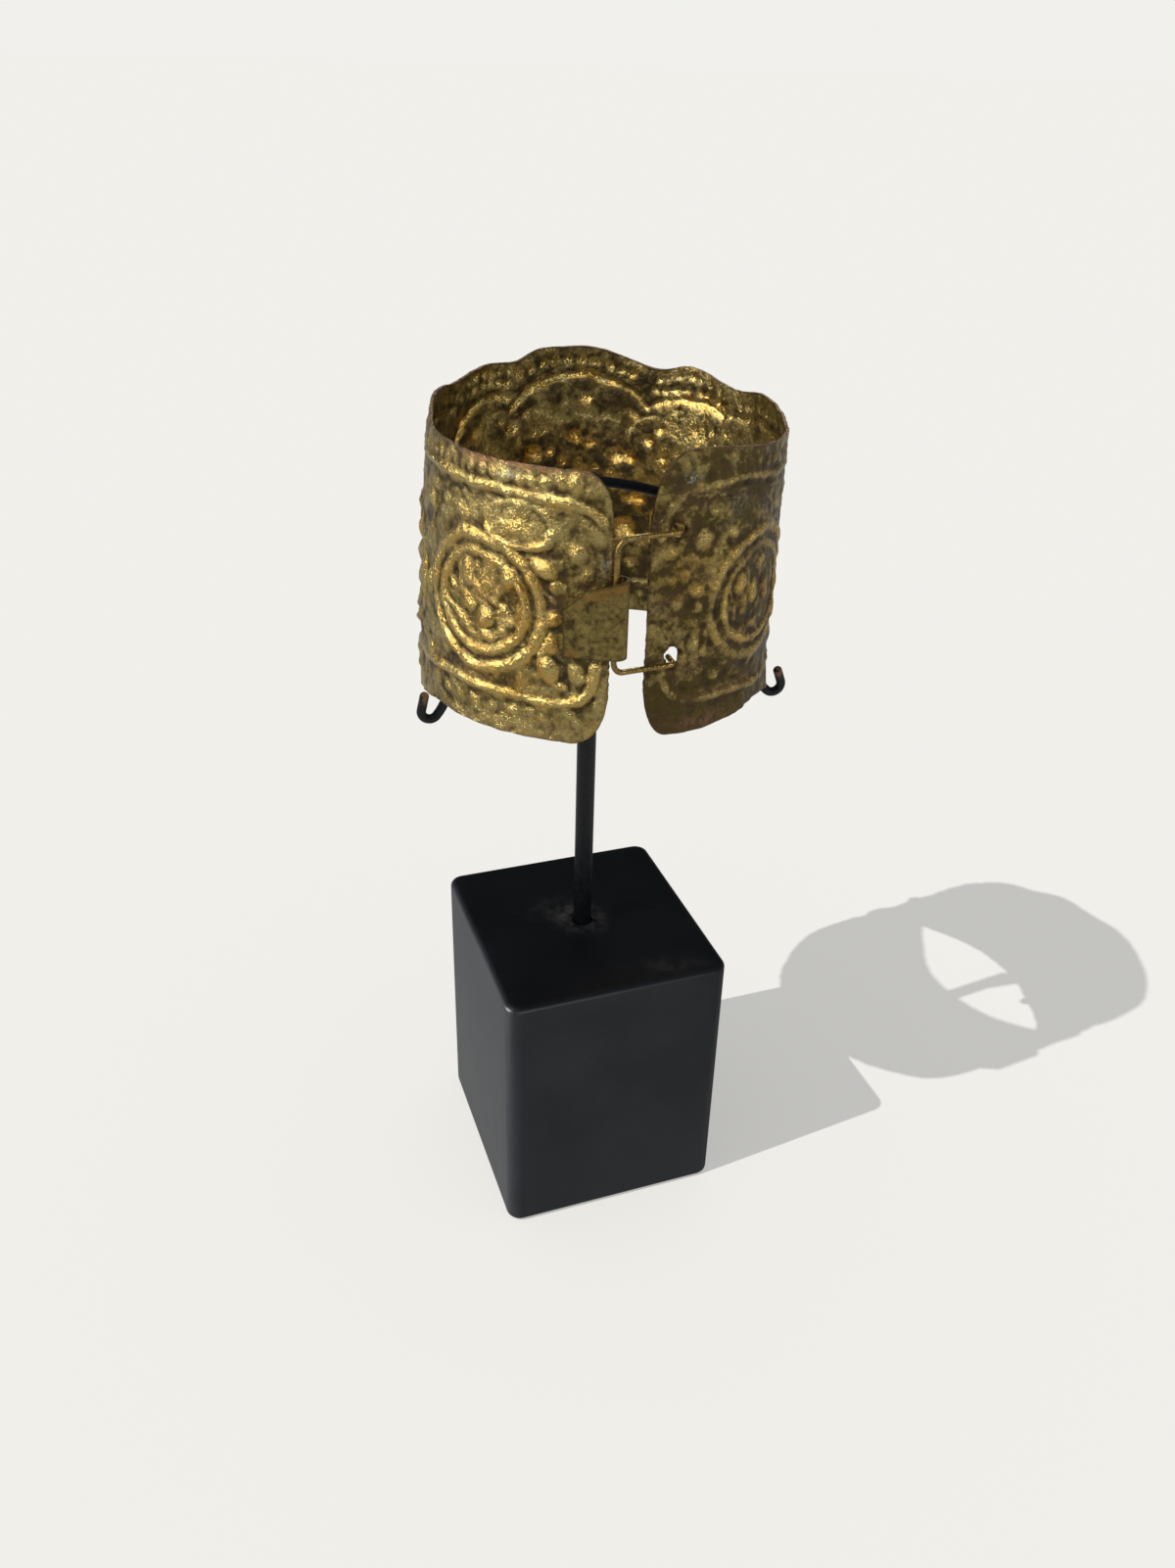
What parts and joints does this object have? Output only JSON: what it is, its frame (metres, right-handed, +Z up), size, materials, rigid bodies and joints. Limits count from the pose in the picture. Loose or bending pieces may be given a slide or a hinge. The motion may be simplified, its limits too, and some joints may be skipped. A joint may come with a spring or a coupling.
{
  "type": "cuff bracelet on a display stand",
  "caption": "Wide chased metal cuff with raised medallions and a wire bail across its gap, held by a bent wire on a rod and block stand.",
  "frame": {"origin": "centre of the block's underside, below the rod's axis", "axes": "+Z up along the rod; the cuff's gap faces -Y"},
  "size_m": [0.0765, 0.0763, 0.1803],
  "materials": {
    "cuff": "gilt copper alloy, tarnished brown in the recesses, bright on the bosses",
    "plate": "plain sheet, dull olive brown",
    "bail": "drawn wire, brown with worn bright edges",
    "holder": "satin black paint on steel",
    "block": "matt black paint on wood, a little dusty"
  },
  "bodies": {
    "root": {"cuff_band": "cuff", "hook_plate": "plate", "wire_bail": "bail", "stand_holder": "holder", "stand_block": "block"}
  },
  "joints": []
}
